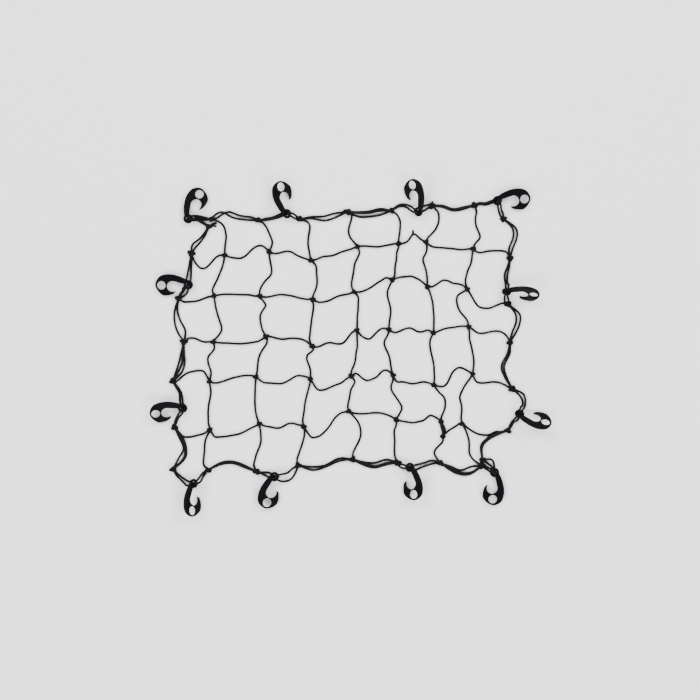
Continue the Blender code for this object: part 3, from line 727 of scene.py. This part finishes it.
def moulding_group():
    """Moulded plastic on Object coordinates: fine grain, faint flow marks and rubbed spots."""
    tree, given, out = empty_tree(
        "Moulded grain", "ShaderNodeTree",
        (("Plastic", "NodeSocketColor", (0.02, 0.02, 0.02, 1)), ("Grain", "NodeSocketFloat", 2600.0)),
        SURFACE_OUT,
    )
    add, join = nodes_of(tree)
    where = add("ShaderNodeTexCoord").outputs["Object"]
    grain = add("ShaderNodeTexNoise", {"Vector": where, "Scale": given.outputs["Grain"], "Detail": 2.0})
    flow = add("ShaderNodeTexNoise", {"Vector": where, "Scale": 60.0, "Detail": 4.0, "Distortion": 1.2})
    rubbed = add("ShaderNodeTexNoise", {"Vector": where, "Scale": 210.0, "Detail": 5.0, "Roughness": 0.7})
    marks = add("ShaderNodeMapRange", {0: rubbed.outputs[0], 1: RUBBED_FROM, 2: RUBBED_TO, 3: 0.0, 4: 1.0})
    lighter = add("ShaderNodeMix", {0: marks.outputs[0], 6: given.outputs["Plastic"], 7: RUBBED_COLOUR},
                  data_type="RGBA")
    gloss = add("ShaderNodeMath", {0: flow.outputs[0], 1: FLOW_DULLS, 2: PLASTIC_ROUGHNESS},
                operation="MULTIPLY_ADD")
    duller = add("ShaderNodeMath", {0: marks.outputs[0], 1: MARKS_DULL, 2: gloss.outputs[0]},
                 operation="MULTIPLY_ADD")
    join(lighter.outputs[2], out.inputs["Colour"])
    join(duller.outputs[0], out.inputs["Roughness"])
    join(grain.outputs[0], out.inputs["Height"])
    return tree


def new_material(name, constants, group=None, values=None, bump=None):
    """A material with those constants on its shader's sockets, and the group's surface if it has one."""
    made = bpy.data.materials.new(name)
    made.use_nodes = True
    shader = made.node_tree.nodes["Principled BSDF"]
    for socket, value in constants.items():
        shader.inputs[socket].default_value = value
    if group:
        add, join = nodes_of(made.node_tree)
        surface = add("ShaderNodeGroup", node_tree=group)
        for socket, value in values.items():
            surface.inputs[socket].default_value = value
        raised = add("ShaderNodeBump", {**bump, "Height": surface.outputs["Height"]})
        join(surface.outputs["Colour"], shader.inputs["Base Color"])
        join(surface.outputs["Roughness"], shader.inputs["Roughness"])
        join(raised.outputs[0], shader.inputs["Normal"])
    return made


def cord_material(settings):
    """Braided polyester sheath: matt yarns with a slight sheen."""
    return new_material(
        "Braided elastic cord",
        {"Sheen Weight": 0.01, "Sheen Roughness": 0.45, "Specular IOR Level": 0.06},
        braid_group(),
        {"Carriers": settings.carriers, "Plait": settings.plait,
         "Sheath": (*settings.colour, 1), "Crowns": (*settings.crown_light_colour, 1)},
        {"Strength": 0.7, "Distance": 0.00025},
    )


def hook_material(settings):
    """Satin moulded nylon."""
    return new_material("Moulded hook", {"Specular IOR Level": 0.05}, moulding_group(),
                        {"Plastic": (*settings.colour, 1)}, {"Strength": 0.25, "Distance": 0.00006})


def floor_material(colour):
    """A plain matt floor."""
    return new_material("Pale floor",
                        {"Base Color": (*colour, 1), "Roughness": 0.9, "Specular IOR Level": 0.1})


# ---------------------------------------------------------------- Geometry Nodes

GEOMETRY = ("Geometry", "NodeSocketGeometry")


def cord_tree():
    """Turns curves into round cord with a map that runs once round it and in metres along it."""
    tree, given, out = empty_tree(
        "Round cord", "GeometryNodeTree",
        (GEOMETRY, ("Radius", "NodeSocketFloat"), ("Sides", "NodeSocketInt"), ("Spacing", "NodeSocketFloat"),
         ("Material", "NodeSocketMaterial")),
        (GEOMETRY,),
    )
    add, join = nodes_of(tree)
    evenly = add("GeometryNodeResampleCurve", {"Curve": given.outputs[0], "Length": given.outputs["Spacing"]},
                 mode="LENGTH")
    along = add("GeometryNodeCaptureAttribute", {0: evenly.outputs[0]})
    along.capture_items.new("FLOAT", "Along")
    join(add("GeometryNodeSplineParameter").outputs["Length"], along.inputs[1])
    ring = add("GeometryNodeCurvePrimitiveCircle",
               {"Resolution": given.outputs["Sides"], "Radius": given.outputs["Radius"]})
    around = add("GeometryNodeCaptureAttribute", {0: ring.outputs[0]})
    around.capture_items.new("FLOAT", "Around")
    join(add("GeometryNodeSplineParameter").outputs["Factor"], around.inputs[1])
    size = add("GeometryNodeInputRadius")
    tube = add("GeometryNodeCurveToMesh", {
        "Curve": along.outputs[0], "Profile Curve": around.outputs[0], "Scale": size.outputs[0],
        "Fill Caps": True})
    # The face that closes the ring has corners at nearly 1 and at 0, and the latter become 1.
    face_mean = add("GeometryNodeFieldOnDomain", {0: around.outputs[1]}, domain="FACE")
    off_mean = add("ShaderNodeMath", {0: face_mean.outputs[0], 1: around.outputs[1]}, operation="SUBTRACT")
    closes = add("ShaderNodeMath", {0: off_mean.outputs[0], 1: 0.25}, operation="GREATER_THAN")
    whole = add("ShaderNodeMath", {0: around.outputs[1], 1: closes.outputs[0]}, operation="ADD")
    place = add("ShaderNodeCombineXYZ", {0: whole.outputs[0], 1: along.outputs[1]})
    mapped = add("GeometryNodeStoreNamedAttribute", {"Geometry": tube.outputs[0], "Name": "UVMap",
                 "Value": place.outputs[0]}, data_type="FLOAT2", domain="CORNER")
    rounded = add("GeometryNodeSetShadeSmooth", {0: mapped.outputs[0]})
    whole_mesh = add("GeometryNodeRealizeInstances", {0: rounded.outputs[0]})
    finished = add("GeometryNodeSetMaterial",
                   {"Geometry": whole_mesh.outputs[0], "Material": given.outputs["Material"]})
    join(finished.outputs[0], out.inputs[0])
    return tree


def knots_tree():
    """Sets a knot on each point, of the kind that the point asks for, each leaning its own way."""
    tree, given, out = empty_tree(
        "Knots on crossings", "GeometryNodeTree",
        (GEOMETRY, ("Shapes", "NodeSocketCollection"), ("Seed", "NodeSocketInt"), ("Tilt", "NodeSocketFloat"),
         ("Size Spread", "NodeSocketFloat"), ("Material", "NodeSocketMaterial")),
        (GEOMETRY,),
    )
    add, join = nodes_of(tree)
    shapes = add("GeometryNodeCollectionInfo", {
        "Collection": given.outputs["Shapes"], "Separate Children": True, "Reset Children": True})
    kind = add("GeometryNodeInputNamedAttribute", {"Name": "kind"}, data_type="INT")
    turn = add("GeometryNodeInputNamedAttribute", {"Name": "turn"}, data_type="FLOAT")
    most = add("ShaderNodeCombineXYZ", {0: given.outputs["Tilt"], 1: given.outputs["Tilt"],
               2: given.outputs["Tilt"]})
    least = add("ShaderNodeVectorMath", {0: most.outputs[0], 3: -1.0}, operation="SCALE")
    lean = add("FunctionNodeRandomValue", {0: least.outputs[0], 1: most.outputs[0],
               "Seed": given.outputs["Seed"]}, data_type="FLOAT_VECTOR")
    facing = add("ShaderNodeCombineXYZ", {2: turn.outputs[0]})
    turned = add("ShaderNodeVectorMath", {0: lean.outputs[0], 1: facing.outputs[0]}, operation="ADD")
    rotation = add("FunctionNodeEulerToRotation", {0: turned.outputs[0]})
    biggest = add("ShaderNodeMath", {0: given.outputs["Size Spread"], 1: 1.0}, operation="ADD")
    smallest = add("ShaderNodeMath", {0: 1.0, 1: given.outputs["Size Spread"]}, operation="SUBTRACT")
    size = add("FunctionNodeRandomValue", {2: smallest.outputs[0], 3: biggest.outputs[0],
               "Seed": given.outputs["Seed"]}, data_type="FLOAT")
    knots = add("GeometryNodeInstanceOnPoints", {
        "Points": given.outputs[0], "Instance": shapes.outputs[0], "Pick Instance": True,
        "Instance Index": kind.outputs[0], "Rotation": rotation.outputs[0], "Scale": size.outputs[1]})
    whole = add("GeometryNodeRealizeInstances", {0: knots.outputs[0]})
    finished = add("GeometryNodeSetMaterial",
                   {"Geometry": whole.outputs[0], "Material": given.outputs["Material"]})
    join(finished.outputs[0], out.inputs[0])
    return tree


# ---------------------------------------------------------------- pieces

def as_curve(name, lines, cyclic=False):
    """Lines of points as one curve object; each line is (points, whether its far end is a cut one)."""
    data = bpy.data.curves.new(name, "CURVE")
    data.dimensions = "3D"
    for points, cut in lines:
        spline = data.splines.new("POLY")
        spline.points.add(len(points) - 1)
        for target, point in zip(spline.points, points):
            target.co = (*point, 1)
            target.radius = 1
        if cut:
            spline.points[-1].radius = CUT_END
        spline.use_cyclic_u = cyclic
    return new_object(name, data)


def round_cord(name, lines, settings, material, cyclic=False, spacing=None, radius=None):
    """Lines of points as one mesh of round cord."""
    curve = as_curve(name, lines, cyclic)
    tree = bpy.data.node_groups.get("Round cord") or cord_tree()
    run_tree(curve, tree, radius=radius or settings.radius, sides=settings.sides,
             spacing=spacing or settings.spacing, material=material)
    return as_mesh(name, curve)


def knot_loop(size, cord_radius, hand, phase):
    """One cord's way round an overhand knot of that outer size, as a closed line."""
    reach = [(extent - 2 * cord_radius) / 2 for extent in size]
    points = []
    for number in range(KNOT_STEPS):
        t = 2 * math.pi * number / KNOT_STEPS
        x = (math.sin(t) + 2 * math.sin(2 * t)) / KNOT_REACH[0]
        y = (math.cos(t) - 2 * math.cos(2 * t)) / KNOT_REACH[1]
        z = -math.sin(3 * t)
        turned = Matrix.Rotation(phase, 2) @ Vector((x, y * hand))
        points.append(Vector((turned.x * reach[0], turned.y * reach[1], z * reach[2])))
    return points


def net_knots(cord, knots, material):
    """Every knot of the net as one mesh."""
    rng = random.Random(knots.seed)
    shapes = bpy.data.collections.new("Knot shapes")
    bpy.context.scene.collection.children.link(shapes)
    kinds = []
    for size in (knots.mesh_size, knots.border_size):
        for hand, phase in KNOT_WAYS:
            loop = knot_loop(size, cord.radius, hand, phase)
            shape = round_cord(f"knot shape {len(kinds)}", [(loop, False)], cord, material, cyclic=True,
                               spacing=KNOT_SPACING, radius=cord.radius * KNOT_SQUEEZE)
            bpy.context.scene.collection.objects.unlink(shape)
            shapes.objects.link(shape)
            kinds.append(shape)
    places, turns, which = [], [], []
    last = len(KNOTS[0]) - 1
    for line, row in enumerate(KNOTS):
        for place, where in enumerate(row):
            edge = (line in (0, len(KNOTS) - 1) or place in (0, last)) and (line, place) not in SMALL_KNOTS
            places.append(plan(where, KNOT_MIDDLE))
            which.append(rng.randrange(len(KNOT_WAYS)) + (len(KNOT_WAYS) if edge else 0))
            rise = row[min(place + 1, last)][1] - row[max(place - 1, 0)][1]
            facing = math.atan2(rise, TWO_MESHES) + rng.choice((0, math.pi))
            turns.append(facing + rng.uniform(-KNOT_SWING, KNOT_SWING))
    for where in LOOSE_KNOTS:
        places.append(plan(where, KNOT_MIDDLE))
        which.append(0)
        turns.append(rng.uniform(0, math.pi))
    points = bpy.data.meshes.new("knot places")
    points.from_pydata(places, [], [])
    points.attributes.new("turn", "FLOAT", "POINT").data.foreach_set("value", turns)
    points.attributes.new("kind", "INT", "POINT").data.foreach_set("value", which)
    carrier = new_object("net_knots", points)
    run_tree(carrier, knots_tree(), shapes=shapes, seed=knots.seed, tilt=knots.tilt,
             size_spread=knots.spread, material=material)
    made = as_mesh("net_knots", carrier)
    for vertex in made.data.vertices:
        vertex.co.z = max(vertex.co.z, 0)
    drop(*kinds)
    bpy.data.collections.remove(shapes)
    return made


def joined(name, *sources):
    """Several mesh objects as one, in place of them."""
    mesh = bmesh.new()
    for source in sources:
        mesh.from_mesh(source.data)
    data = bpy.data.meshes.new(name)
    mesh.to_mesh(data)
    mesh.free()
    data.materials.append(sources[0].data.materials[0])
    drop(*sources)
    return new_object(name, data)


def hook_lines(settings):
    """The hook's edge, its eye and its head hole, each with the plastic on its left."""
    outer = [Vector(point) for point in (BEAK, *UNDER_BEAK, *ROUND_HEAD, *DOWN_SHANK)]
    boss = arc((0, 0), BOSS_RADIUS, *BOSS_ARC)
    over = smooth([*outer, boss[0]], steps=5)[:-1]
    throat = arc(THROAT_CENTRE, THROAT_RADIUS, *THROAT_ARC)
    beak = smooth([throat[-1], Vector(IN_BEAK), Vector(BEAK)], steps=3)[1:-1]
    shank_end, shank_start = throat[0], boss[-1]
    inner = [shank_start.lerp(shank_end, step / 6) for step in range(1, 6)]
    edge = over + boss + inner + throat + beak
    eye = arc((0, 0), settings.eye_radius, *EYE_ARC)
    head_hole = arc((settings.head_hole_at, 0), settings.head_hole_radius, *HEAD_HOLE_ARC)
    return edge, eye, head_hole


def inward(loop):
    """The direction into the solid at each point of a closed line that keeps the solid on its left."""
    ways = []
    for before, point, after in zip([loop[-1], *loop[:-1]], loop, [*loop[1:], loop[0]]):
        into = (point - before).normalized() + (after - point).normalized()
        ways.append(Vector((-into.y, into.x)).normalized())
    return ways


def across_plate(point, way, loops):
    """How far the plate reaches from an edge point, straight into it."""
    nearest = 1.0
    for loop in loops:
        for a, b in zip(loop, [*loop[1:], loop[0]]):
            run = b - a
            turn = way.x * run.y - way.y * run.x
            if abs(turn) < PARALLEL:
                continue
            off = a - point
            ahead = (off.x * run.y - off.y * run.x) / turn
            share = (off.x * way.y - off.y * way.x) / turn
            if HERE < ahead < nearest and 0 <= share <= 1:
                nearest = ahead
    return nearest


def hook_shape(settings):
    """The moulded hook about its eye: rounded edges, a fine parting line round the middle of its walls."""
    half, edge = settings.thickness / 2, settings.edge
    loops = hook_lines(settings)
    turns = [math.radians(turn) for turn in ROUNDING_TURNS]
    mesh = bmesh.new()
    faces_at = {1: [], -1: []}
    for loop in loops:
        ways = inward(loop)
        widths = [across_plate(point, way, loops) for point, way in zip(loop, ways)]
        rounds = [min(edge, MOST_ROUNDED * width) for width in widths]
        flats = [min(reach + RIM, MOST_RIM * width) for reach, width in zip(rounds, widths)]
        levels = [(flats, half)]
        levels += [([reach * (1 - math.cos(turn)) for reach in rounds], half - edge + edge * math.sin(turn))
                   for turn in turns]
        levels += [([0.0] * len(loop), PARTING_HEIGHT), ([-PARTING_DEPTH] * len(loop), 0.0)]
        levels += [(insets, -height) for insets, height in reversed(levels[:-1])]
        rows = []
        for insets, height in levels:
            rows.append([mesh.verts.new((*(point + way * inset), height))
                         for point, way, inset in zip(loop, ways, insets)])
        for upper, under in zip(rows, rows[1:]):
            for i in range(len(loop)):
                j = (i + 1) % len(loop)
                mesh.faces.new((upper[i], under[i], under[j], upper[j]))
        for face, row in ((1, rows[0]), (-1, rows[-1])):
            faces_at[face] += [mesh.edges.get((row[i], row[(i + 1) % len(row)])) for i in range(len(row))]
    for face, edges in faces_at.items():
        bmesh.ops.triangle_fill(mesh, edges=edges, use_beauty=True, normal=(0, 0, face))
    return mesh


def moulded_hook(name, side, pose, settings, material):
    """One hook where it lies, with its place in its mesh."""
    mesh = hook_shape(settings)
    bmesh.ops.scale(mesh, verts=mesh.verts, vec=(1, side, 1))
    bmesh.ops.transform(mesh, verts=mesh.verts, matrix=pose)
    bmesh.ops.recalc_face_normals(mesh, faces=mesh.faces)
    data = bpy.data.meshes.new(name)
    mesh.to_mesh(data)
    mesh.free()
    data.shade_smooth()
    data.materials.append(material)
    return new_object(name, data)


def light(name, kind, place, energy):
    """A light that faces the middle of the net."""
    lamp = bpy.data.lights.new(name, kind)
    lamp.energy = energy
    made = new_object(name, lamp)
    made.location = place
    made.rotation_euler = (-Vector(place)).to_track_quat("-Z", "Y").to_euler()
    return lamp


# ---------------------------------------------------------------- operators

class CARGONET_OT_net(bpy.types.Operator):
    """Lays the net: its meshes, its doubled border, its knots and its cut ends"""

    bl_idname = "cargonet.net"
    bl_label = "Knotted Net"

    def execute(self, context):
        cord, hooks = context.scene.cargonet_cord, context.scene.cargonet_hooks
        material = cord_material(cord)
        poses = hook_poses(hooks)
        cords = round_cord("cords", net_lines(poses, cord, hooks), cord, material)
        net = joined("knotted_net", cords, net_knots(cord, context.scene.cargonet_knots, material))
        settled(net, "cord", "net")
        return {"FINISHED"}


class CARGONET_OT_hooks(bpy.types.Operator):
    """Moulds the twelve hooks where they lie on the border"""

    bl_idname = "cargonet.hooks"
    bl_label = "Moulded Hooks"

    def execute(self, context):
        cord, hooks = context.scene.cargonet_cord, context.scene.cargonet_hooks
        material = hook_material(hooks)
        poses = hook_poses(hooks)
        for name, _, _, side, _ in HOOKS:
            made = moulded_hook(f"moulded_{name}", 1 if side == "right" else -1, poses[name], hooks, material)
            settled(made, "hook", name)
        return {"FINISHED"}


class CARGONET_OT_stage(bpy.types.Operator):
    """Sets the floor, the lights, the surroundings and the camera straight above the net"""

    bl_idname = "cargonet.stage"
    bl_label = "Floor, Lights and Camera"

    def execute(self, context):
        stage = context.scene.cargonet_stage
        mesh = bmesh.new()
        bmesh.ops.create_grid(mesh, x_segments=1, y_segments=1, size=FLOOR_REACH)
        data = bpy.data.meshes.new("Floor")
        mesh.to_mesh(data)
        mesh.free()
        data.materials.append(floor_material(stage.floor_colour))
        floor = new_object("Floor", data)

        light("Overhead softbox", "AREA", OVERHEAD, stage.softbox_power).size = OVERHEAD_SIZE
        for number, place in enumerate(SIDE_LIGHTS, start=1):
            light(f"Side light {number}", "SUN", place, stage.side_strength).angle = SIDE_LIGHT_SPREAD

        world = bpy.data.worlds.new("Surroundings")
        world.use_nodes = True
        add, join = nodes_of(world.node_tree)
        seen = add("ShaderNodeLightPath").outputs["Is Camera Ray"]
        strength = add("ShaderNodeMix", {0: seen, 2: stage.surroundings, 3: stage.backdrop},
                       data_type="FLOAT")
        sky = world.node_tree.nodes["Background"].inputs
        sky["Color"].default_value = (1, 1, 1, 1)
        join(strength.outputs[0], sky["Strength"])
        context.scene.world = world

        lens = bpy.data.cameras.new("Camera")
        lens.sensor_fit = "HORIZONTAL"
        lens.lens = lens.sensor_width * stage.camera_height / stage.view_width
        camera = new_object("Camera", lens)
        camera.location = plan(VIEW_MIDDLE, stage.camera_height)
        context.scene.camera = camera
        return {"FINISHED"}


class CARGONET_PT_panel(bpy.types.Panel):
    """The net's sizes and colours, and the steps that build it"""

    bl_idname = "CARGONET_PT_panel"
    bl_label = "Cargo Net"
    bl_space_type = "VIEW_3D"
    bl_region_type = "UI"
    bl_category = "Cargo Net"

    def draw(self, context):
        for label, settings, step in (
            ("Cord", context.scene.cargonet_cord, None),
            ("Knots", context.scene.cargonet_knots, "cargonet.net"),
            ("Hooks", context.scene.cargonet_hooks, "cargonet.hooks"),
            ("Stage", context.scene.cargonet_stage, "cargonet.stage"),
        ):
            box = self.layout.box()
            box.label(text=label)
            for field in settings.bl_rna.properties:
                if not field.is_readonly and field.identifier != "name":
                    box.prop(settings, field.identifier)
            if step:
                box.operator(step)


SETTINGS = (("cord", CordSettings), ("knots", KnotSettings), ("hooks", HookSettings),
            ("stage", StageSettings))
PARTS = (CARGONET_OT_net, CARGONET_OT_hooks, CARGONET_OT_stage, CARGONET_PT_panel)


def register():
    for name, settings in SETTINGS:
        bpy.utils.register_class(settings)
        setattr(bpy.types.Scene, f"cargonet_{name}", bpy.props.PointerProperty(type=settings))
    for part in PARTS:
        bpy.utils.register_class(part)


def unregister():
    for part in reversed(PARTS):
        bpy.utils.unregister_class(part)
    for name, settings in reversed(SETTINGS):
        delattr(bpy.types.Scene, f"cargonet_{name}")
        bpy.utils.unregister_class(settings)


def main():
    register()
    bpy.ops.cargonet.stage()
    bpy.ops.cargonet.net()
    bpy.ops.cargonet.hooks()


if __name__ == "__main__":
    main()
